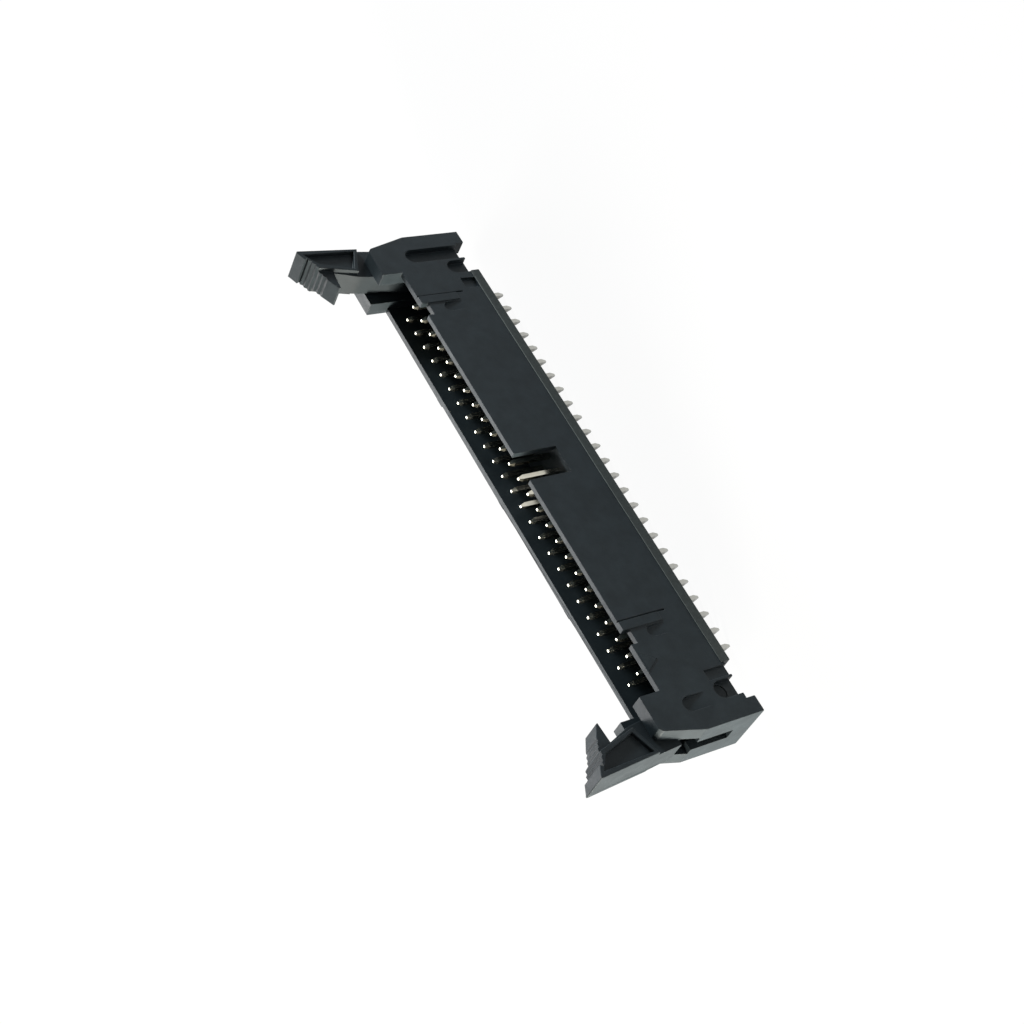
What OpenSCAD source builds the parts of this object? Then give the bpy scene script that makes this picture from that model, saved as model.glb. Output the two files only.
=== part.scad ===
// Straight board header with two rows of square contacts, a keyed shroud and an ejector latch at each end.
// X runs along the rows, the keyed wall faces -Y and +Z is the way a mating plug leaves.
// The origin is the middle of the contact grid, on the board surface.

/* [Contacts] */
// Contacts in each row
columns = 25; // [6:1:28]
// Spacing of the contacts along a row
pitch = 2.54; // [2.3:0.01:3]
// Spacing of the two rows
row_pitch = 2.54; // [2.2:0.01:2.8]
// Side of the square contact
contact_side = 0.64; // [0.5:0.01:0.75]
// Height of the contact tips above the board
contact_top = 11.6; // [10:0.1:12]
// Length of the solder tails below the board
tail_len = 3.2; // [2:0.1:5]
// Length of the taper at both ends of a contact
taper_len = 0.7; // [0.3:0.1:1]
// Width left at the tapered ends
tip_flat = 0.28; // [0.15:0.01:0.4]
// Width across the retaining wings of a contact
wing_span = 1; // [0.85:0.05:1.2]
// Thickness of the retaining wings
wing_t = 0.3; // [0.2:0.05:0.45]
// Height of the retaining wings
wing_h = 1.2; // [0.6:0.1:2]
// Gap between a contact and its hole
contact_fit = 0.01; // [0.005:0.005:0.03]

/* [Shroud] */
// Width of the cavity that takes the plug
cavity_w = 6.2; // [5.8:0.1:6.6]
// Thickness of the long walls
wall = 0.8; // [0.6:0.05:1.1]
// Height of the long walls above the board
shroud_h = 12.15; // [10.5:0.05:13]
// Height of the cavity floor above the board
floor_h = 5.2; // [4.6:0.1:6]
// Gap between the board and the base
standoff = 0.4; // [0.2:0.1:0.6]
// Length of the cavity beyond the last contact
end_room = 4.02; // [3.8:0.01:6]
// Overhang of the base flange
flange_out = 0.15; // [0.1:0.05:0.4]
// Thickness of the base flange
flange_h = 1.3; // [1:0.1:2]
// Distance from the end of the flange to the end of the cavity
flange_in = 1.1; // [0.8:0.05:1.4]
// Width of the ribs on the back wall
back_rib_w = 1.3; // [0.8:0.1:2]
// Thickness of the ribs on the back wall
back_rib_out = 0.2; // [0.1:0.05:0.4]
// Columns between neighbouring ribs on the back wall
back_rib_step = 7; // [2:1:9]

/* [Keying] */
// Width of the key slot in the front wall
key_w = 4.3; // [3.5:0.1:5]
// Height of the key slot's bottom above the cavity floor
key_sill = 0.4; // [0.2:0.1:2]
// Width of the two small notches in the front wall
notch_w = 2; // [1.4:0.1:2.4]
// Depth of the two small notches
notch_depth = 1; // [0.5:0.1:1.6]
// Distance from the last contact to a notch
notch_in = 3.28; // [2.8:0.01:4]
// Shift of both notches toward +X
notch_shift = 0.4; // [0:0.1:0.6]
// Width of the rib beside each notch
notch_rib_w = 1.25; // [0.8:0.05:1.6]
// Thickness of the rib beside each notch
notch_rib_out = 0.15; // [0.1:0.05:0.4]
// Length of the rib beside each notch
notch_rib_len = 6.1; // [4.5:0.1:6.4]
// Width of the thin groove along each of those ribs
notch_line_w = 0.2; // [0.15:0.05:0.3]
// Depth of that groove
notch_line_depth = 0.2; // [0.1:0.05:0.3]
// Length of that groove
notch_line_len = 7.3; // [6:0.1:8]
// Width of the pocket below each notch
dimple_w = 1.5; // [1:0.1:1.8]
// Height of the pocket below each notch
dimple_h = 3; // [2:0.1:3.2]
// Depth of that pocket at its upper end
dimple_depth = 0.4; // [0.2:0.05:0.5]
// Distance from the wall's top to that pocket
dimple_drop = 3.2; // [2.6:0.1:3.6]
// Width of the triangle that marks the first contact
mark_w = 2.6; // [1.2:0.1:3]
// Height of that triangle
mark_h = 2.1; // [1:0.1:2.4]
// Distance from the wall's top to that triangle
mark_drop = 0.15; // [0.1:0.05:1]
// Height of that triangle above the wall
mark_out = 0.1; // [0.05:0.01:0.14]

/* [Towers] */
// Length of an end tower
tower_len = 6.4; // [6.2:0.05:7.6]
// Height of an end tower above the board
tower_h = 15.2; // [14:0.1:17]
// Height at which the end face begins to lean in
sill_h = 9; // [8:0.1:9.6]
// Distance the end face leans in at the top
end_lean = 1.45; // [0.8:0.05:2]
// Chamfer at the top of the end face
top_chamfer = 0.45; // [0.2:0.05:0.8]
// Thickness of the end wall
end_wall = 1.2; // [1:0.05:1.4]
// Width of the slot that holds a latch
slot_w = 3.6; // [3:0.1:4]
// Width of the narrow slot in the end wall
narrow_w = 1.8; // [1.4:0.05:2.1]
// Height of the lower end of the narrow slot
narrow_low = 3.2; // [2.6:0.1:4.2]
// Clear height below the towers
underside_h = 1.3; // [1:0.1:1.8]
// Length of the feet on the board
foot_len = 2.2; // [1.8:0.1:2.6]
// Depth of the grooves at the pivots
groove_depth = 0.9; // [0.5:0.05:1]
// Room round the pivot hole in those grooves
groove_room = 0.1; // [0:0.05:0.2]
// Distance of the long groove from the pivot
groove_shift = 0.5; // [0.4:0.05:0.6]
// Height of the long groove's round end above the board
groove_top = 10.2; // [9:0.1:12]
// Thickness of the strip between a groove and the cut beside it
strip_w = 0.35; // [0.25:0.05:0.5]
// Width of the arch beside the long groove
arch_w = 2.3; // [1.6:0.1:2.5]
// Depth of that arch
arch_depth = 0.8; // [0.5:0.1:1]
// Height of that arch above the board
arch_top = 4.8; // [4:0.1:5.4]
// Thickness of the post between the arch and the square recess
post_w = 1.1; // [0.8:0.05:1.4]
// Width of the square recess
recess_w = 1.85; // [1.2:0.05:2.2]
// Height of the square recess above the flange
recess_h = 2.3; // [1.6:0.1:2.8]
// Depth of the square recess
recess_depth = 0.4; // [0.2:0.05:0.5]
// Width of the sloping pocket above the short groove
slant_w = 2; // [1.6:0.1:2.4]
// Height of that pocket
slant_h = 3.8; // [3:0.1:4.5]
// Depth of that pocket at its upper end
slant_depth = 0.7; // [0.4:0.05:0.9]
// Width of the step beside the short groove
step_w = 1.4; // [1:0.1:1.7]
// Depth of that step
step_depth = 0.35; // [0.2:0.05:0.5]

/* [Latches] */
// Angle at which the latches stand open
latch_open = 10; // [0:0.5:20]
// Distance of the pivot from the end of the cavity
pivot_out = 2.2; // [2.05:0.05:2.4]
// Height of the pivot above the board
pivot_h = 3.8; // [3.6:0.05:4.1]
// Diameter of the pivot pins
pin_d = 2.1; // [1.6:0.05:2.3]
// Radial clearance of the pivot pins
pin_clear = 0.05; // [0.02:0.01:0.1]
// Distance of the long pin's end below the floor of the short groove
pin_recess = 0.1; // [0:0.05:0.3]
// Depth in the tower wall of the blind hole for the short pin
blind_depth = 0.8; // [0.6:0.05:0.9]
// Clearance at each side of a latch in its slot
side_clear = 0.15; // [0.1:0.05:0.3]
// Wall of the hub round the pins
hub_wall = 0.85; // [0.6:0.05:1]
// Width of the head
head_w = 4.6; // [4.1:0.1:5.6]
// Height of the head
head_h = 9.1; // [8:0.1:11]
// Gap between the tower and the head
head_gap = 0.9; // [0.7:0.1:2]
// Slope of the head's lower edge
head_slope = 12; // [8:1:16]
// Distance of the outer face from the pivot at the foot of the head
back_out = 2.35; // [2:0.05:2.6]
// Lean of the outer face
back_lean = 5.5; // [3:0.5:7]
// Depth of the head from its outer face to its inner rim
head_depth = 4.2; // [3.8:0.1:4.6]
// Width of the rim round the side pockets
rim = 0.5; // [0.4:0.05:0.8]
// Depth of the side pockets
pocket_depth = 1.1; // [0.5:0.1:1.6]
// Slope of the serrated pad
pad_angle = 35; // [30:1:40]
// Length of the smooth lip at the outer end of the pad
lip_len = 1.75; // [1.2:0.05:2.2]
// Step from the lip down to the serrations
lip_step = 0.5; // [0.2:0.05:0.7]
// Number of serrations
teeth = 6; // [3:1:7]
// Spacing of the serrations
tooth_pitch = 0.72; // [0.6:0.02:0.75]
// Height of the serrations
tooth_h = 0.18; // [0.1:0.02:0.3]
// Length of the serrated slope down to the tip of the hook
pad_len = 5.9; // [5.5:0.1:6.5]
// Height of the blunt tip of the hook
hook_tip = 0.3; // [0.2:0.05:0.5]
// Depth of the gap below the hook
hook_gap_in = 2.7; // [2.2:0.1:3]
// Height of the gap below the hook
hook_gap_h = 3; // [2.4:0.1:3.2]
// Height of the step on the stem above the sill
step_gap = 3.2; // [2.6:0.1:3.4]
// Distance of the lower stem's outer face from the pivot
stem_out = 1.05; // [0.8:0.05:1.1]
// Lean of the lower stem toward the cavity
stem_lean = 10; // [9:1:14]
// Distance of the stem's inner face from the pivot
stem_in = 1.6; // [1.5:0.05:1.75]
// Distance that this face has come forward at the step
stem_rise = 0.45; // [0.3:0.05:0.6]
// Thickness of the stiffening rib in the narrow slot
web_w = 1.2; // [0.8:0.05:1.3]
// Height of that rib on the stem at its upper end
web_out = 0.45; // [0.3:0.05:0.6]
// Reach of the ejecting toe from the pivot
toe_reach = 4.4; // [3.9:0.1:4.6]
// Thickness of the toe at its tip
toe_tip = 1.3; // [0.9:0.1:1.5]
// Distance of the closed toe below the cavity floor
toe_drop = 0.2; // [0.1:0.05:0.5]
// Clearance round the toe in its pocket
toe_clear = 0.4; // [0.3:0.05:0.6]

/* [Hidden] */
$fn = 48;
// Cutting shapes run past the faces that they open by this much
past = 1;

contact_count = 2 * columns;
row_span = (columns - 1) * pitch;
end_x = row_span / 2 + end_room;
half_w = cavity_w / 2 + wall;
tower_x = end_x + tower_len;
wall_in_x = tower_x - end_wall;
flange_x = end_x - flange_in;
flange_top = standoff + flange_h;

pivot_x = end_x + pivot_out;
hole_r = pin_d / 2 + pin_clear;
hub_r = pin_d / 2 + hub_wall;
stem_w = slot_w - 2 * side_clear;
long_pin = half_w - groove_depth - pin_recess;
blind_end = slot_w / 2 + blind_depth;
short_pin = blind_end - pin_recess;
groove_r = hole_r + groove_room;
groove_x = pivot_x + groove_shift;

// Latch heights above the pivot, with the latch closed
head_low = tower_h + head_gap - pivot_h;
head_top = head_low + head_h;
step_v = sill_h + step_gap - pivot_h;
toe_top = floor_h - toe_drop - pivot_h;
toe_root = [-hub_r / 2, -hub_r * sqrt(3) / 2];
toe_fall = (toe_top - toe_tip - toe_root[1]) / (toe_reach + toe_root[0]);
toe_floor = pivot_h + toe_top - toe_tip - toe_fall * (toe_reach - pivot_out) - toe_clear;

// Odd contacts lie along the keyed wall, and number 1 is at the -X end
function contact_name(n) = str("contact_", n < 10 ? "0" : "", n);
function contact_place(n) = [
    floor((n - 1) / 2) * pitch - row_span / 2,
    (n % 2 == 1 ? -1 : 1) * row_pitch / 2,
    0
];

// Outline helpers for the latch: u is the distance outward from the pivot and v the height above it
function back_u(v) = back_out - (v - head_low) * tan(back_lean);
pad_dir = [-cos(pad_angle), -sin(pad_angle)];
pad_normal = [-sin(pad_angle), cos(pad_angle)];
thumb = [back_u(head_top), head_top];
lip_end = thumb + lip_len * pad_dir;
pad_start = lip_end - lip_step * pad_normal;
function pad_point(along, out = 0) = pad_start + along * pad_dir + out * pad_normal;
function serrations(count) = [
    for (i = [0 : count - 1])
        for (p = [pad_point(i * tooth_pitch), pad_point((i + 0.5) * tooth_pitch, tooth_h)])
            p
];
function rotated(p, angle) = [p[0] * cos(angle) - p[1] * sin(angle), p[0] * sin(angle) + p[1] * cos(angle)];
function stem_point(along) = rotated([stem_out, along], stem_lean);

head_teeth = floor(teeth / 2);
rim_top = pad_point(head_teeth * tooth_pitch);
rim_low = [back_out - head_depth, head_low + head_depth * tan(head_slope)];
hook_end = pad_point(pad_len);
hook_low = hook_end - [0, hook_tip];
gap_top = hook_low + [hook_gap_in, hook_gap_in * tan(back_lean)];
gap_low = [rim_low[0] - rim, hook_low[1] - hook_gap_h];

module at_both_ends() {
    for (side = [0, 1])
        mirror([side, 0, 0])
            children();
}

module on_both_sides() {
    for (side = [0, 1])
        mirror([0, side, 0])
            children();
}

// Once as it stands and once more after half a turn about Z
module half_turned() {
    for (turn = [0, 180])
        rotate([0, 0, turn])
            children();
}

// A solid with its outline drawn in X and Z, centred on Y
module side_plate(points, width) {
    rotate([90, 0, 0])
        linear_extrude(height = width, center = true)
            polygon(points);
}

// A block from one corner to the opposite one
module block(low, high) {
    translate(low)
        cube(high - low);
}

// A groove that opens downward and ends in a half circle, cut into the -Y face
module arched_groove(x, width, bottom, top, depth) {
    radius = width / 2;
    block([x - radius, -half_w - past, bottom], [x + radius, -half_w + depth, top - radius]);
    translate([x, -half_w - past, top - radius])
        rotate([-90, 0, 0])
            cylinder(r = radius, h = past + depth);
}

// A pocket with a round upper end, cut into the -Y face and sloping out to nothing at its bottom
module slanted_pocket(x, width, top, height, depth) {
    radius = width / 2;
    translate([x, -half_w, top - height])
        rotate([-asin(depth / height), 0, 0]) {
            block([-radius, -2 * past, 0], [radius, 0, height - radius]);
            translate([0, -2 * past, height - radius])
                rotate([-90, 0, 0])
                    cylinder(r = radius, h = 2 * past);
        }
}

module shroud_blank() {
    half_outline = [
        [0, standoff],
        [flange_x, standoff],
        [flange_x, underside_h],
        [tower_x - foot_len, underside_h],
        [tower_x - foot_len, 0],
        [tower_x, 0],
        [tower_x, sill_h],
        [tower_x - end_lean, tower_h - top_chamfer],
        [tower_x - end_lean - top_chamfer, tower_h],
        [end_x, tower_h],
        [end_x, shroud_h],
        [0, shroud_h]
    ];
    at_both_ends()
        side_plate(half_outline, 2 * half_w);
}

// The flange along both long walls
module flange() {
    edge = half_w + flange_out;
    block([-flange_x, -edge, standoff], [flange_x, edge, flange_top]);
}

module back_ribs() {
    for (i = [-1 : 1])
        translate([i * back_rib_step * pitch, 0, 0])
            block([-back_rib_w / 2, cavity_w / 2, standoff], [back_rib_w / 2, half_w + back_rib_out, shroud_h]);
}

// Centres of the two small notches in the front wall
notch_places = [for (side = [-1, 1]) side * (row_span / 2 - notch_in) + notch_shift];

module notch_ribs() {
    for (x = notch_places)
        block(
            [x + notch_w / 2, -half_w - notch_rib_out, shroud_h - notch_rib_len],
            [x + notch_w / 2 + notch_rib_w, -cavity_w / 2, shroud_h]
        );
}

// The raised triangle at the first contact
module first_mark() {
    translate([-row_span / 2, -cavity_w / 2, shroud_h - mark_drop])
        rotate([90, 0, 0])
            linear_extrude(height = wall + mark_out)
                polygon([[-mark_w / 2, 0], [mark_w / 2, 0], [0, -mark_h]]);
}

module front_wall_cuts() {
    block([-key_w / 2, -half_w - past, floor_h + key_sill], [key_w / 2, 0, shroud_h + past]);
    for (x = notch_places) {
        block([x - notch_w / 2, -half_w - past, shroud_h - notch_depth], [x + notch_w / 2, 0, shroud_h + past]);
        slanted_pocket(x, dimple_w, shroud_h - dimple_drop, dimple_h, dimple_depth);
        translate([x + notch_w / 2 + notch_rib_w, -half_w, shroud_h])
            block([0, -past, -notch_line_len], [notch_line_w, notch_line_depth, past]);
    }
}

// Slots and pockets of one tower, at the +X end
module latch_room() {
    half_slot = slot_w / 2;
    block([end_x, -half_slot, -past], [wall_in_x, half_slot, tower_h + past]);
    block([wall_in_x - past, -half_slot, sill_h], [tower_x + past, half_slot, tower_h + past]);
    block([wall_in_x - past, -narrow_w / 2, narrow_low], [tower_x + past, narrow_w / 2, sill_h + past]);
    block([pivot_x - toe_reach - toe_clear, -half_slot, toe_floor], [end_x + past, half_slot, floor_h + past]);
}

// The pivot hole of the +X tower, open to the groove in its +Y side
module pivot_hole() {
    translate([pivot_x, -blind_end, pivot_h])
        rotate([-90, 0, 0])
            cylinder(r = hole_r, h = blind_end + half_w + past);
}

// Cuts in the -Y side of the +X tower
module long_groove_side() {
    arch_x = groove_x - groove_r - strip_w;
    arched_groove(groove_x, 2 * groove_r, -past, groove_top, groove_depth);
    arched_groove(arch_x - arch_w / 2, arch_w, -past, arch_top, arch_depth);
    translate([arch_x - arch_w - post_w, -half_w, flange_top])
        block([-recess_w, -past, 0], [0, recess_depth, recess_h]);
}

// Cuts in the -Y side of the -X tower, drawn at the +X end
module short_groove_side() {
    arched_groove(pivot_x, 2 * groove_r, -past, pivot_h + groove_r, groove_depth);
    slanted_pocket(groove_x, slant_w, groove_top, slant_h, slant_depth);
    translate([pivot_x - groove_r - strip_w, -half_w, 0])
        block([-step_w, -past, -past], [0, step_depth, arch_top]);
}

module contact_holes() {
    side = contact_side + 2 * contact_fit;
    for (n = [1 : contact_count])
        translate(contact_place(n)) {
            block([-side / 2, -side / 2, -past], [side / 2, side / 2, floor_h + past]);
            wing_block(contact_fit, standoff - past);
        }
}

// The wings of a contact, grown by a gap and run down to a given height
module wing_block(gap, bottom) {
    block(
        [-wing_span / 2 - gap, -wing_t / 2 - gap, bottom],
        [wing_span / 2 + gap, wing_t / 2 + gap, standoff + wing_h + gap]
    );
}

module housing() {
    color([0.13, 0.15, 0.16])
        difference() {
            union() {
                shroud_blank();
                flange();
                back_ribs();
                notch_ribs();
                first_mark();
            }
            block([-end_x, -cavity_w / 2, floor_h], [end_x, cavity_w / 2, tower_h + past]);
            front_wall_cuts();
            contact_holes();
            half_turned() {
                latch_room();
                pivot_hole();
                long_groove_side();
                mirror([1, 0, 0])
                    short_groove_side();
            }
        }
}

module contact_post() {
    half = contact_side / 2;
    outline = [
        [-half, taper_len - tail_len],
        [-tip_flat / 2, -tail_len],
        [tip_flat / 2, -tail_len],
        [half, taper_len - tail_len],
        [half, contact_top - taper_len],
        [tip_flat / 2, contact_top],
        [-tip_flat / 2, contact_top],
        [-half, contact_top - taper_len]
    ];
    intersection() {
        side_plate(outline, contact_side);
        rotate([0, 0, 90])
            side_plate(outline, contact_side);
    }
}

module contact(n) {
    color([0.86, 0.8, 0.62])
        translate(contact_place(n))
            union() {
                contact_post();
                wing_block(0, standoff);
            }
}

// The part of the latch that runs in the slot: hook, stem, hub and toe
module latch_core() {
    outline = concat(
        [[back_u(step_v), step_v], thumb, lip_end],
        serrations(teeth),
        [hook_end, hook_low, gap_top, gap_low, [gap_low[0], head_low]],
        [[-stem_in - stem_rise, step_v], [-stem_in, hub_r], [-stem_in, toe_top]],
        [[-toe_reach, toe_top], [-toe_reach, toe_top - toe_tip], toe_root],
        [[0, 0], stem_point(hub_r), stem_point(step_v)]
    );
    side_plate(outline, stem_w);
    rotate([90, 0, 0])
        cylinder(r = hub_r, h = stem_w, center = true);
}

// The wider head, with a shallow pocket in each side
module latch_head() {
    outline = concat(
        [[back_u(head_low), head_low], thumb, lip_end],
        serrations(head_teeth),
        [rim_top, rim_low]
    );
    thumb_angle = 90 - pad_angle - back_lean;
    pocket = [
        [back_u(head_low) - rim, head_low + rim + rim * tan(head_slope)],
        pad_point(rim / tan(thumb_angle / 2) - lip_len, lip_step - rim),
        pad_point(head_teeth * tooth_pitch - rim, -rim),
        [rim_low[0] + rim, rim_low[1] + rim]
    ];
    difference() {
        side_plate(outline, head_w);
        on_both_sides()
            translate([0, -head_w / 2, 0])
                side_plate(pocket, 2 * pocket_depth);
    }
}

// The thin rib that passes through the narrow slot as the latch opens
module latch_web() {
    outline = [[0, 0], [hub_r * cos(stem_lean), hub_r / 2], [stem_out + web_out, step_v], stem_point(step_v)];
    side_plate(outline, web_w);
}

// One pin with a short end in -Y and a long end in +Y
module latch_pins() {
    translate([0, -short_pin, 0])
        rotate([-90, 0, 0])
            cylinder(d = pin_d, h = short_pin + long_pin);
}

// The latch at the +X end, swung open about its pivot
module latch_right() {
    color([0.17, 0.19, 0.2])
        translate([pivot_x, 0, pivot_h])
            rotate([0, latch_open, 0])
                union() {
                    latch_core();
                    latch_head();
                    latch_web();
                    latch_pins();
                }
}

// The same moulding, turned half round for the -X end
module latch_left() {
    rotate([0, 0, 180])
        latch_right();
}

housing();
latch_left();
latch_right();
for (n = [1 : contact_count])
    contact(n);
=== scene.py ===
"""Looks of a latched box header: keyed shroud, square contacts and two ejector latches."""

import logging
import math
from dataclasses import dataclass, field
from enum import Enum
from typing import Callable

import bmesh
import bpy
from bpy.types import Material, Node, NodeSocket, Object, World
from mathutils import Euler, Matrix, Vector


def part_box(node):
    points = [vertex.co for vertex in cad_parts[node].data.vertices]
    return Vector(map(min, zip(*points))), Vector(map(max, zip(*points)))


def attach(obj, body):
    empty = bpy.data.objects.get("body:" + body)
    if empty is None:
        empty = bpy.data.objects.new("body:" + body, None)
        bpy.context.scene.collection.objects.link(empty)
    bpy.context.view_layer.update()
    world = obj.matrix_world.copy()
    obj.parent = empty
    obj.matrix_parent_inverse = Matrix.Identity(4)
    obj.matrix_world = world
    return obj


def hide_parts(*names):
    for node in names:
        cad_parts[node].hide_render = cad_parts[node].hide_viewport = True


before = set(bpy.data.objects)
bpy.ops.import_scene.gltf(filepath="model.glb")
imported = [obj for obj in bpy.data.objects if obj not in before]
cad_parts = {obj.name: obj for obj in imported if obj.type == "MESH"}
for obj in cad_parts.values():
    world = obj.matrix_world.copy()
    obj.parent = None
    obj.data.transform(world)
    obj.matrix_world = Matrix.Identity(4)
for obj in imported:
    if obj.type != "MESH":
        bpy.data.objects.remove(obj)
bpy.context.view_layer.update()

Triple = tuple[float, float, float]
EdgeTest = Callable[[Vector, Vector], bool]

MM: float = 0.001
WHITE: Triple = (1.0, 1.0, 1.0)

# Ramps run between these values, as nearly all of a noise pattern lies there
RAMP_START: float = 0.3
RAMP_STOP: float = 0.7

# Sockets of the mix node that carry colours
MIX_SHARE: int = 0
MIX_FIRST: int = 6
MIX_SECOND: int = 7
MIX_RESULT: int = 2

# Points closer than this are one point of the CAD mesh
MERGE_GAP: float = 0.0005 * MM
# Narrower slivers that rounding leaves are closed up
SLIVER_GAP: float = 0.001 * MM
# Faces that turn less than this are one flat face
FLAT_ANGLE: float = math.radians(0.5)
# Edges that turn more than this can be rounded
ROUNDED_ANGLE: float = math.radians(24.0)
# Edges that turn more than this are shaded sharp
SHARP_ANGLE: float = math.radians(14.0)
# Profile of a round edge
ROUND_PROFILE: float = 0.5
# How far broad faces outweigh narrow ones in the shading
FLAT_WEIGHT: int = 90

log = logging.getLogger("box_header")


class End(Enum):
    """The two ends of the header, named as seen from the keyed wall."""

    LEFT = "left"
    RIGHT = "right"

    @property
    def node(self) -> str:
        """Name of the CAD node of this end's latch."""
        return f"latch_{self.value}"

    @property
    def body(self) -> str:
        """Name of the body that this end's latch moves with."""
        return f"{self.value}_latch"


class Slot(Enum):
    """The record's material slots of the moulded pieces."""

    HOUSING = "housing_plastic"
    LATCH = "latch_plastic"


@dataclass(frozen=True)
class Pattern:
    """A noise pattern: cells per metre, octaves of finer noise, and scale along each axis."""

    scale: float
    detail: float
    stretch: Triple = (1.0, 1.0, 1.0)
    roughness: float = 0.6


class NodeSheet:
    """The nodes of a material or a world, with short calls to add and join them."""

    def __init__(self, owner: Material | World) -> None:
        """Empties the owner's node tree.

        Args:
            owner: The material or the world.
        """
        owner.use_nodes = True
        self.tree = owner.node_tree
        self.tree.nodes.clear()

    def add(
        self, kind: str, values: dict[str, object] | None = None, **settings: object
    ) -> Node:
        """Adds one node.

        Args:
            kind: The node's type name.
            values: Constants for its input sockets, by socket name.
            settings: Properties of the node itself.

        Returns:
            The new node.
        """
        node = self.tree.nodes.new(kind)
        for key, value in settings.items():
            setattr(node, key, value)
        for key, value in (values or {}).items():
            node.inputs[key].default_value = value
        return node

    def join(self, source: NodeSocket, target: NodeSocket) -> None:
        """Links an output socket to an input socket."""
        self.tree.links.new(source, target)

    def axes(self, kind: str) -> Node:
        """Splits the piece's own coordinates into X, Y and Z.

        Args:
            kind: "Object" for places, or "Normal" for directions.

        Returns:
            The node with an output for each axis.
        """
        place = self.add("ShaderNodeTexCoord")
        split = self.add("ShaderNodeSeparateXYZ")
        self.join(place.outputs[kind], split.inputs["Vector"])
        return split

    def noise(self, pattern: Pattern) -> NodeSocket:
        """Adds a noise pattern on the piece's own coordinates.

        Args:
            pattern: The pattern's sizes.

        Returns:
            The noise value's socket.
        """
        place = self.add("ShaderNodeTexCoord")
        stretch = self.add("ShaderNodeMapping", {"Scale": pattern.stretch})
        cells = self.add(
            "ShaderNodeTexNoise",
            {"Scale": pattern.scale, "Detail": pattern.detail, "Roughness": pattern.roughness},
        )
        self.join(place.outputs["Object"], stretch.inputs["Vector"])
        self.join(stretch.outputs["Vector"], cells.inputs["Vector"])
        return cells.outputs["Fac"]

    def ramp(self, value: NodeSocket, low: Triple, high: Triple) -> NodeSocket:
        """Turns a value into a colour between two tones.

        Args:
            value: The socket that drives the ramp.
            low: Colour at the low end.
            high: Colour at the high end.

        Returns:
            The colour socket.
        """
        node = self.add("ShaderNodeValToRGB")
        ends = zip(node.color_ramp.elements, (RAMP_START, RAMP_STOP), (low, high))
        for element, place, colour in ends:
            element.position = place
            element.color = (*colour, 1.0)
        self.join(value, node.inputs["Fac"])
        return node.outputs["Color"]

    def mottle(self, pattern: Pattern, low: Triple, high: Triple) -> NodeSocket:
        """Adds a colour that drifts between two tones."""
        return self.ramp(self.noise(pattern), low, high)

    def fit(
        self,
        value: NodeSocket,
        start: float,
        stop: float,
        low: float = 0.0,
        high: float | NodeSocket = 1.0,
    ) -> NodeSocket:
        """Maps one range of a value to another, and holds its ends beyond it.

        Args:
            value: The socket to map.
            start: Value that gives the low result.
            stop: Value that gives the high result.
            low: The low result.
            high: The high result, which may come from another socket.

        Returns:
            The mapped value's socket.
        """
        node = self.add(
            "ShaderNodeMapRange", {"From Min": start, "From Max": stop, "To Min": low}
        )
        self.join(value, node.inputs["Value"])
        if isinstance(high, NodeSocket):
            self.join(high, node.inputs["To Max"])
        else:
            node.inputs["To Max"].default_value = high
        return node.outputs["Result"]

    def spread(self, value: NodeSocket, low: float, high: float) -> NodeSocket:
        """Maps the ramps' range of a value to another range."""
        return self.fit(value, RAMP_START, RAMP_STOP, low, high)

    def blend(self, share: NodeSocket, first: NodeSocket, second: NodeSocket) -> NodeSocket:
        """Mixes two colours.

        Args:
            share: Share of the second colour.
            first: Colour at share 0.
            second: Colour at share 1.

        Returns:
            The mixed colour's socket.
        """
        node = self.add("ShaderNodeMix", data_type="RGBA")
        for source, place in ((share, MIX_SHARE), (first, MIX_FIRST), (second, MIX_SECOND)):
            self.join(source, node.inputs[place])
        return node.outputs[MIX_RESULT]

    def bump(self, height: NodeSocket, strength: float, depth: float) -> NodeSocket:
        """Adds fine relief.

        Args:
            height: The relief's height.
            strength: Share of the relief that shows.
            depth: Depth of the relief.

        Returns:
            The socket of the relief's normal.
        """
        node = self.add("ShaderNodeBump", {"Strength": strength, "Distance": depth})
        self.join(height, node.inputs["Height"])
        return node.outputs["Normal"]

    def skin(self, sources: dict[str, NodeSocket], values: dict[str, object]) -> NodeSocket:
        """Adds the surface shader.

        Args:
            sources: Sockets to join to its inputs, by input name.
            values: Constants for its other inputs, by input name.

        Returns:
            The shader's socket.
        """
        node = self.add("ShaderNodeBsdfPrincipled", values)
        for name, source in sources.items():
            self.join(source, node.inputs[name])
        return node.outputs["BSDF"]

    def seen_directly(self) -> NodeSocket:
        """Tells rays that show the background: straight, mirrored or through glass.

        Returns:
            A socket that is 1 for such a ray and 0 for any other.
        """
        path = self.add("ShaderNodeLightPath")
        result = path.outputs["Is Camera Ray"]
        for name in ("Is Glossy Ray", "Is Transmission Ray"):
            either = self.add("ShaderNodeMath", operation="MAXIMUM")
            self.join(result, either.inputs[0])
            self.join(path.outputs[name], either.inputs[1])
            result = either.outputs["Value"]
        return result

    def finish(self, kind: str, shader: NodeSocket) -> None:
        """Joins the last shader to an output node of the given type."""
        self.join(shader, self.add(kind).inputs["Surface"])


def shaded(colour: Triple, share: float) -> Triple:
    """Scales the brightness of a colour."""
    red, green, blue = colour
    return red * share, green * share, blue * share


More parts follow.
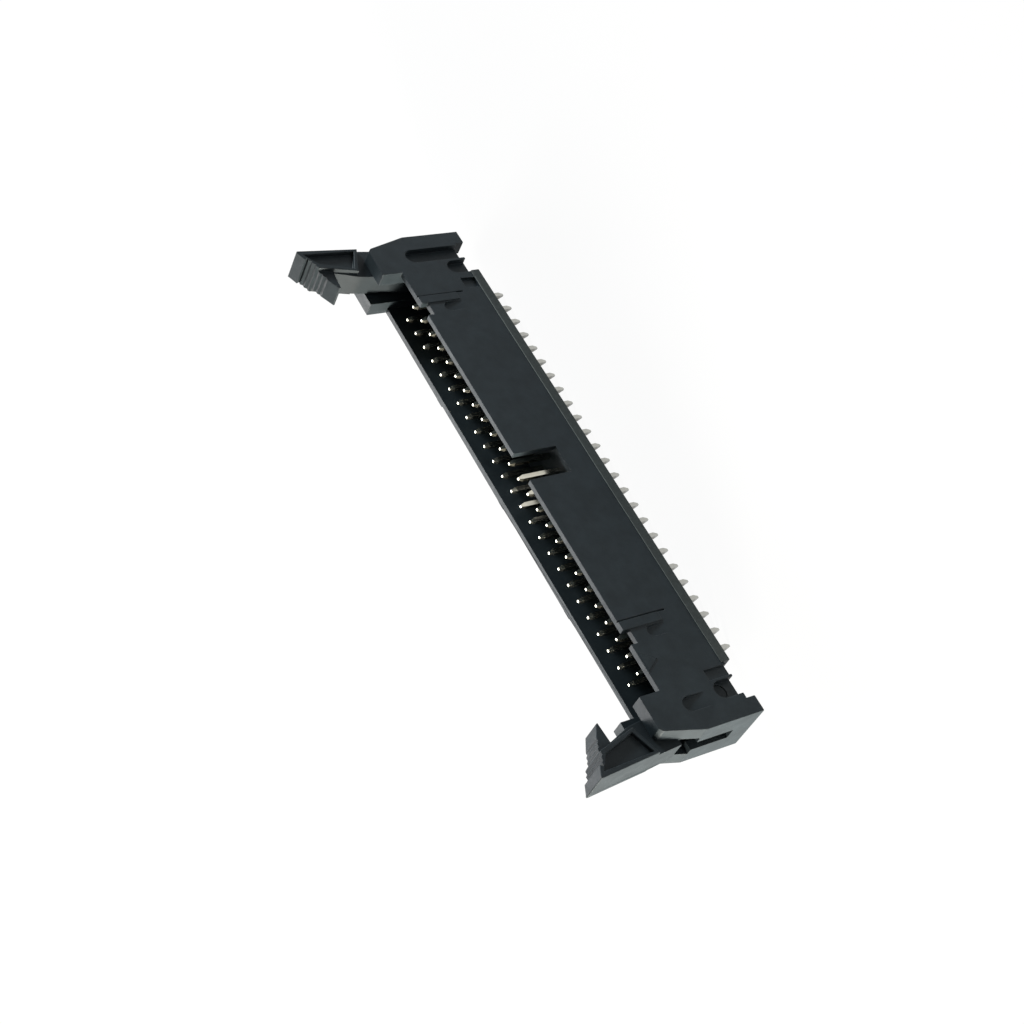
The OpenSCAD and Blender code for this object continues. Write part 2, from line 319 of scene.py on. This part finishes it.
@dataclass(frozen=True)
class MouldedPlastic:
    """Black filled plastic with the grain of an etched mould and painted highlights along its
    edges.
    """

    name: str
    tone: Triple
    sheen: float
    refraction: float = 1.45
    cloud: float = 0.16
    cloud_cells: Pattern = Pattern(scale=420.0, detail=4.0)
    gloss_low: float = 0.4
    gloss_high: float = 0.5
    gloss_cells: Pattern = Pattern(scale=900.0, detail=3.0)
    grain_cells: Pattern = Pattern(scale=7000.0, detail=2.0)
    grain_strength: float = 0.5
    grain_depth: float = 0.016 * MM
    # Painted highlight along the edges: its width, its mask and its lighter tone
    edge_highlight_width: float = 0.12 * MM
    edge_highlight_samples: int = 4
    edge_highlight_start: float = 0.97
    edge_highlight_full: float = 0.75
    edge_highlight_low: float = 0.1
    edge_highlight_high: float = 0.6
    edge_highlight_cells: Pattern = Pattern(scale=1500.0, detail=3.0)
    edge_highlight_tone: Triple = (0.07, 0.075, 0.075)
    edge_highlight_shade: float = 0.8
    edge_highlight_specks: Pattern = Pattern(scale=2500.0, detail=2.0)

    def material(self) -> Material:
        """Builds the node material.

        Returns:
            The material.
        """
        material = bpy.data.materials.new(self.name)
        sheet = NodeSheet(material)
        gloss = sheet.noise(self.gloss_cells)
        grain = sheet.noise(self.grain_cells)
        sources = {
            "Base Color": self.painted_edge_highlight(sheet, self.colour(sheet)),
            "Roughness": sheet.spread(gloss, self.gloss_low, self.gloss_high),
            "Normal": sheet.bump(grain, self.grain_strength, self.grain_depth),
        }
        skin = sheet.skin(sources, {"IOR": self.refraction, "Specular IOR Level": self.sheen})
        sheet.finish("ShaderNodeOutputMaterial", skin)
        return material

    def colour(self, sheet: NodeSheet) -> NodeSocket:
        """Adds the colour of a plain face, slightly clouded.

        Args:
            sheet: The material's nodes.

        Returns:
            The colour's socket.
        """
        dark = shaded(self.tone, 1.0 - self.cloud)
        light = shaded(self.tone, 1.0 + self.cloud)
        return sheet.mottle(self.cloud_cells, dark, light)

    def painted_edge_highlight(self, sheet: NodeSheet, colour: NodeSocket) -> NodeSocket:
        """Paints an uneven highlight along the plastic's edges.

        Args:
            sheet: The material's nodes.
            colour: The colour away from the edges.

        Returns:
            The colour with its lighter edges.
        """
        # Painted highlight: lightens the colour where the surface turns at an edge
        soft = sheet.add("ShaderNodeBevel", {"Radius": self.edge_highlight_width}, samples=self.edge_highlight_samples)
        plain = sheet.add("ShaderNodeNewGeometry")
        turn = sheet.add("ShaderNodeVectorMath", operation="DOT_PRODUCT")
        sheet.join(soft.outputs["Normal"], turn.inputs[0])
        sheet.join(plain.outputs["Normal"], turn.inputs[1])
        cells = sheet.noise(self.edge_highlight_cells)
        most = sheet.spread(cells, self.edge_highlight_low, self.edge_highlight_high)
        edge = sheet.fit(turn.outputs["Value"], self.edge_highlight_start, self.edge_highlight_full, high=most)
        dull = shaded(self.edge_highlight_tone, self.edge_highlight_shade)
        return sheet.blend(edge, colour, sheet.mottle(self.edge_highlight_specks, dull, self.edge_highlight_tone))


@dataclass(frozen=True)
class ShroudPlastic(MouldedPlastic):
    """The shroud's plastic, with painted light on the flange of the keyed side."""

    # Painted light on the keyed side's flange, with a painted highlight on its upward ledge
    flange_light_start: float = -3.9 * MM
    flange_light_top: float = 1.75 * MM
    flange_light_blend: float = 0.02 * MM
    flange_light_tone: Triple = (0.045, 0.053, 0.052)
    ledge_highlight_tone: Triple = (0.2, 0.21, 0.2)
    flange_light_shade: float = 0.75
    flange_light_cells: Pattern = Pattern(scale=1200.0, detail=4.0)

    def colour(self, sheet: NodeSheet) -> NodeSocket:
        """Adds the colour, with painted light on the flange and a painted highlight where the
        flange faces up.

        Args:
            sheet: The material's nodes.

        Returns:
            The colour's socket.
        """
        # Painted light: the flange's outer face is lighter below its top
        place = sheet.axes("Object")
        low = sheet.fit(place.outputs["Z"], self.flange_light_top + self.flange_light_blend, self.flange_light_top)
        out = place.outputs["Y"]
        share = sheet.fit(out, self.flange_light_start, self.flange_light_start - self.flange_light_blend, high=low)
        face, ledge = (
            sheet.mottle(self.flange_light_cells, shaded(tone, self.flange_light_shade), tone)
            for tone in (self.flange_light_tone, self.ledge_highlight_tone)
        )
        # Painted highlight: where the flange's ledge faces up it is lighter still
        upward = sheet.spread(sheet.axes("Normal").outputs["Z"], 0.0, 1.0)
        return sheet.blend(share, super().colour(sheet), sheet.blend(upward, face, ledge))


@dataclass(frozen=True)
class PlatedMetal:
    """Square contact metal, bright plated at the mating end and tinned at the tail.

    The tails carry painted shade on their faces that face along X.
    """

    name: str
    tone: Triple
    tail_tone: Triple
    tail_side_shade_tone: Triple
    shade: float = 0.12
    shade_cells: Pattern = Pattern(scale=600.0, detail=3.0)
    tail_top: float = 0.3 * MM
    tail_blend: float = 0.8 * MM
    gloss_low: float = 0.14
    gloss_high: float = 0.24
    draw_lines: Pattern = Pattern(scale=6000.0, detail=2.0, stretch=(1.0, 1.0, 0.06))
    draw_strength: float = 0.12
    draw_depth: float = 0.002 * MM

    def material(self) -> Material:
        """Builds the node material, with draw lines along the contact.

        Returns:
            The material.
        """
        material = bpy.data.materials.new(self.name)
        sheet = NodeSheet(material)
        lines = sheet.noise(self.draw_lines)
        sources = {
            "Base Color": self.colour(sheet),
            "Roughness": sheet.spread(lines, self.gloss_low, self.gloss_high),
            "Normal": sheet.bump(lines, self.draw_strength, self.draw_depth),
        }
        sheet.finish("ShaderNodeOutputMaterial", sheet.skin(sources, {"Metallic": 1.0}))
        return material

    def colour(self, sheet: NodeSheet) -> NodeSocket:
        """Adds the colour of the plating and, lower down, of the tinned tail.

        Args:
            sheet: The material's nodes.

        Returns:
            The colour's socket.
        """
        height = sheet.axes("Object").outputs["Z"]
        rise = sheet.fit(height, self.tail_top, self.tail_top + self.tail_blend)
        # Painted shade: the tail darkens on its faces that face along X
        facing_x = sheet.add("ShaderNodeMath", operation="ABSOLUTE")
        sheet.join(sheet.axes("Normal").outputs["X"], facing_x.inputs[0])
        tail = sheet.ramp(facing_x.outputs["Value"], self.tail_tone, self.tail_side_shade_tone)
        pin = sheet.mottle(self.shade_cells, shaded(self.tone, 1.0 - self.shade), self.tone)
        return sheet.blend(rise, tail, pin)


@dataclass(frozen=True)
class WhiteTable:
    """White board that shows as plain white and keeps a faint shadow."""

    name: str = "white_table"
    tone: Triple = (0.72, 0.72, 0.72)
    cloud: float = 0.02
    cloud_cells: Pattern = Pattern(scale=60.0, detail=2.0)
    shadow: float = 0.06

    def material(self) -> Material:
        """Builds the node material.

        Returns:
            The material.
        """
        material = bpy.data.materials.new(self.name)
        sheet = NodeSheet(material)
        board = sheet.add("ShaderNodeBsdfDiffuse")
        faint = shaded(self.tone, 1.0 - self.cloud)
        sheet.join(sheet.mottle(self.cloud_cells, faint, self.tone), board.inputs["Color"])
        glow = sheet.add("ShaderNodeEmission", {"Strength": 1.0})
        share = sheet.fit(sheet.seen_directly(), 0.0, 1.0, high=1.0 - self.shadow)
        mix = sheet.add("ShaderNodeMixShader")
        sources = (share, board.outputs["BSDF"], glow.outputs["Emission"])
        for source, target in zip(sources, mix.inputs):
            sheet.join(source, target)
        sheet.finish("ShaderNodeOutputMaterial", mix.outputs["Shader"])
        return material


SHROUD_PLASTIC = ShroudPlastic(
    name="shroud_plastic",
    tone=(0.018, 0.0245, 0.0285),
    sheen=0.15,
)
EJECTOR_PLASTIC = MouldedPlastic(
    name="ejector_plastic",
    tone=(0.020, 0.0255, 0.029),
    sheen=0.1,
)
CONTACT_PLATING = PlatedMetal(
    name="contact_plating",
    tone=(0.62, 0.6, 0.51),
    tail_tone=(0.42, 0.42, 0.39),
    tail_side_shade_tone=(0.2, 0.2, 0.185),
)


def deselect() -> None:
    """Leaves nothing selected and no object in edit mode."""
    if bpy.context.mode != "OBJECT":
        bpy.ops.object.mode_set(mode="OBJECT")
    bpy.ops.object.select_all(action="DESELECT")


def dress(piece: Object, material: Material) -> None:
    """Gives a piece one material."""
    piece.data.materials.clear()
    piece.data.materials.append(material)


def merged_copy(node: str, name: str) -> Object:
    """Copies a CAD node as one closed mesh, ready for its edges to be rounded.

    Args:
        node: The CAD node's name.
        name: Name of the new piece.

    Returns:
        The new piece, active and selected.
    """
    deselect()
    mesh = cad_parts[node].data.copy()
    mesh.name = name
    piece = bpy.data.objects.new(name, mesh)
    bpy.context.scene.collection.objects.link(piece)
    piece.select_set(True)
    bpy.context.view_layer.objects.active = piece
    bpy.ops.object.mode_set(mode="EDIT")
    bpy.ops.mesh.select_mode(type="EDGE")
    bpy.ops.mesh.select_all(action="SELECT")
    bpy.ops.mesh.remove_doubles(threshold=MERGE_GAP)
    bpy.ops.mesh.dissolve_limited(angle_limit=FLAT_ANGLE)
    bpy.ops.mesh.select_all(action="SELECT")
    bpy.ops.mesh.quads_convert_to_tris(quad_method="BEAUTY", ngon_method="BEAUTY")
    bpy.ops.object.mode_set(mode="OBJECT")
    return piece


def select_edges(angle: float) -> None:
    """Selects, in edit mode, only the edges that turn by more than an angle."""
    bpy.ops.mesh.select_all(action="DESELECT")
    bpy.ops.mesh.edges_select_sharp(sharpness=angle)


def round_edges(piece: Object, radius: float, segments: int, wanted: EdgeTest) -> None:
    """Rounds edges of the active piece as a mould leaves them.

    Args:
        piece: The piece, which is active.
        radius: Width of the rounding on each face.
        segments: Steps across the rounding.
        wanted: Says of an edge, from its two ends, whether it is rounded.
    """
    bpy.ops.object.mode_set(mode="EDIT")
    select_edges(ROUNDED_ANGLE)
    cage = bmesh.from_edit_mesh(piece.data)
    for edge in cage.edges:
        if edge.select and not wanted(edge.verts[0].co, edge.verts[1].co):
            edge.select_set(False)
    cage.select_flush_mode()
    bmesh.update_edit_mesh(piece.data)
    # Clamping would narrow every rounding to suit the tightest corner
    bpy.ops.mesh.bevel(
        offset=radius, segments=segments, profile=ROUND_PROFILE, clamp_overlap=False
    )
    bpy.ops.mesh.select_all(action="SELECT")
    bpy.ops.mesh.remove_doubles(threshold=SLIVER_GAP)
    bpy.ops.mesh.dissolve_degenerate(threshold=SLIVER_GAP)
    bpy.ops.object.mode_set(mode="OBJECT")


def smooth_flat(piece: Object) -> None:
    """Shades the active piece's curves smooth and keeps its broad faces flat.

    Args:
        piece: The piece, which is active.
    """
    bpy.ops.object.shade_smooth()
    bpy.ops.object.mode_set(mode="EDIT")
    select_edges(SHARP_ANGLE)
    bpy.ops.mesh.mark_sharp()
    bpy.ops.object.mode_set(mode="OBJECT")
    flatten = piece.modifiers.new("flat_faces", "WEIGHTED_NORMAL")
    flatten.keep_sharp = True
    flatten.weight = FLAT_WEIGHT
    bpy.ops.object.modifier_apply(modifier=flatten.name)


@dataclass
class Housing:
    """The moulded shroud with its flange, towers and feet."""

    plastic: ShroudPlastic = SHROUD_PLASTIC
    edge_radius: float = 0.08 * MM
    edge_segments: int = 3
    short_edge: float = 0.3 * MM
    floor_height: float = 5.2 * MM
    floor_margin: float = 0.1 * MM
    grid_width: float = 2.2 * MM
    grid_length: float = 31.6 * MM
    slot_width: float = 1.85 * MM
    slot_start: float = 38.5 * MM
    flange_start: float = 3.85 * MM
    flange_top: float = 2.5 * MM
    rim_radius: float = 0.13 * MM
    rim_segments: int = 2
    rim_start: float = 4.0 * MM
    rim_bottom: float = 1.0 * MM
    rim_length: float = 5.0 * MM

    def is_rounded(self, a: Vector, b: Vector) -> bool:
        """Leaves contact holes, end slots, the low flange and very short edges as they are.

        Args:
            a: One end of an edge.
            b: Its other end.

        Returns:
            True for an edge that is rounded.
        """
        middle = (a + b) / 2
        in_grid = abs(middle.y) < self.grid_width and abs(middle.x) < self.grid_length
        at_hole = in_grid and middle.z < self.floor_height + self.floor_margin
        at_slot = abs(middle.y) < self.slot_width and abs(middle.x) > self.slot_start
        at_flange = abs(middle.y) > self.flange_start and middle.z < self.flange_top
        return not (at_hole or at_slot or at_flange) and (a - b).length > self.short_edge

    def at_rim(self, a: Vector, b: Vector) -> bool:
        """Tells the long upper edges of the flange.

        Args:
            a: One end of an edge.
            b: Its other end.

        Returns:
            True for such an edge.
        """
        outside = min(abs(a.y), abs(b.y)) > self.rim_start
        raised = self.rim_bottom < min(a.z, b.z) and max(a.z, b.z) < self.flange_top
        return outside and raised and abs(a.x - b.x) > self.rim_length

    def build(self) -> Object:
        """Makes the housing and puts it on the header's body.

        Returns:
            The housing's piece.
        """
        piece = merged_copy("housing", "shroud")
        round_edges(piece, self.rim_radius, self.rim_segments, self.at_rim)
        round_edges(piece, self.edge_radius, self.edge_segments, self.is_rounded)
        smooth_flat(piece)
        dress(piece, self.plastic.material())
        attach(piece, "header")
        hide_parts("housing")
        return piece


@dataclass
class Latch:
    """One ejector latch: serrated head, hook, stem and toe."""

    end: End
    edge_radius: float = 0.1 * MM
    edge_segments: int = 3
    short_edge: float = 0.7 * MM
    tooth_length: float = 4.4 * MM
    thumb_radius: float = 0.28 * MM
    thumb_segments: int = 10
    thumb_margin: float = 0.05 * MM

    def is_rounded(self, a: Vector, b: Vector) -> bool:
        """Leaves the head's fine teeth and other short edges as they are."""
        return abs(a.y - b.y) < self.tooth_length and (a - b).length > self.short_edge

    def at_thumb(self, a: Vector, b: Vector) -> bool:
        """Tells the blunt outer edge of the head, the latch's highest edge."""
        return min(a.z, b.z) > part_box(self.end.node)[1][2] - self.thumb_margin

    def build(self, material: Material) -> Object:
        """Makes the latch and puts it on its body.

        Args:
            material: The latches' plastic.

        Returns:
            The latch's piece.
        """
        piece = merged_copy(self.end.node, f"ejector_{self.end.value}")
        round_edges(piece, self.thumb_radius, self.thumb_segments, self.at_thumb)
        round_edges(piece, self.edge_radius, self.edge_segments, self.is_rounded)
        smooth_flat(piece)
        dress(piece, material)
        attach(piece, self.end.body)
        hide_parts(self.end.node)
        return piece


@dataclass
class ContactGrid:
    """The square contacts, which keep their CAD form."""

    metal: PlatedMetal = CONTACT_PLATING
    prefix: str = "contact_"

    def build(self) -> int:
        """Dresses every contact.

        Returns:
            The number of contacts.
        """
        material = self.metal.material()
        names = sorted(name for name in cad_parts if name.startswith(self.prefix))
        for name in names:
            dress(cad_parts[name], material)
        return len(names)


@dataclass
class Lamp:
    """One soft square lamp that looks at the header."""

    name: str
    place: Triple
    size: float
    power: float
    tint: Triple = WHITE

    def build(self, target: Triple) -> None:
        """Hangs the lamp, out of the camera's sight.

        Args:
            target: The point that it looks at.
        """
        data = bpy.data.lights.new(self.name, "AREA")
        data.shape = "SQUARE"
        data.size = self.size
        data.energy = self.power
        data.color = self.tint
        lamp = bpy.data.objects.new(self.name, data)
        lamp.location = self.place
        sight = Vector(target) - Vector(self.place)
        lamp.rotation_euler = sight.to_track_quat("-Z", "Y").to_euler()
        lamp.visible_camera = False
        bpy.context.scene.collection.objects.link(lamp)


@dataclass
class Studio:
    """White table, soft lamps and the camera of the photograph."""

    board: WhiteTable = WhiteTable()
    table_height: float = -3.25 * MM
    table_size: float = 4.0
    eye: Triple = (-0.095515, -0.150544, 0.130746)
    turn: Triple = (-18.1157, 54.5321, -143.2295)
    lens: float = 58.912
    near: float = 0.01
    far: float = 20.0
    room_light: float = 0.05
    aim: Triple = (0.0, 0.0, 0.008)
    lamps: list[Lamp] = field(
        default_factory=lambda: [
            Lamp(
                "window",
                place=(-0.28, 0.115, 0.05),
                size=0.09,
                power=4.2,
                tint=(1.0, 0.94, 0.83),
            ),
            Lamp(
                "sky",
                place=(0.2, 0.33, 0.26),
                size=0.3,
                power=2.6,
            ),
            Lamp(
                "key",
                place=(0.86, -0.3, 0.36),
                size=0.16,
                power=11.6,
                tint=(0.88, 0.96, 1.0),
            ),
        ]
    )

    def build_camera(self) -> None:
        """Places the camera at the photograph's view."""
        data = bpy.data.cameras.new("photo_view")
        data.lens = self.lens
        data.clip_start = self.near
        data.clip_end = self.far
        camera = bpy.data.objects.new("photo_view", data)
        camera.location = self.eye
        camera.rotation_euler = Euler([math.radians(angle) for angle in self.turn], "XYZ")
        bpy.context.scene.collection.objects.link(camera)
        bpy.context.scene.camera = camera

    def build_table(self) -> None:
        """Lays the white table under the contact tails."""
        deselect()
        place = (0.0, 0.0, self.table_height)
        bpy.ops.mesh.primitive_plane_add(size=self.table_size, location=place)
        bpy.ops.object.transform_apply(location=True, rotation=True, scale=True)
        table = bpy.context.active_object
        table.name = "table"
        dress(table, self.board.material())

    def build_room(self) -> None:
        """Makes the even light of a white room, which cameras and shiny faces see as white."""
        world = bpy.data.worlds.new("white_room")
        bpy.context.scene.world = world
        sheet = NodeSheet(world)
        sky = sheet.add("ShaderNodeBackground", {"Color": (*WHITE, 1.0)})
        level = sheet.fit(sheet.seen_directly(), 0.0, 1.0, self.room_light)
        sheet.join(level, sky.inputs["Strength"])
        sheet.finish("ShaderNodeOutputWorld", sky.outputs["Background"])

    def build(self) -> None:
        """Sets up the whole studio."""
        bpy.context.scene.view_settings.view_transform = "Standard"
        self.build_camera()
        self.build_table()
        self.build_room()
        for lamp in self.lamps:
            lamp.build(self.aim)


def main() -> None:
    """Builds the studio and dresses the header, piece by piece."""
    logging.basicConfig(level=logging.INFO, format="%(name)s: %(message)s")
    Studio().build()
    log.info("studio ready")
    shroud = Housing().build()
    log.info("%s: %d faces", shroud.name, len(shroud.data.polygons))
    latch_plastic = EJECTOR_PLASTIC.material()
    for end in End:
        latch = Latch(end).build(latch_plastic)
        log.info("%s: %d faces", latch.name, len(latch.data.polygons))
    log.info("contacts dressed: %d", ContactGrid().build())


if __name__ == "__main__":
    main()
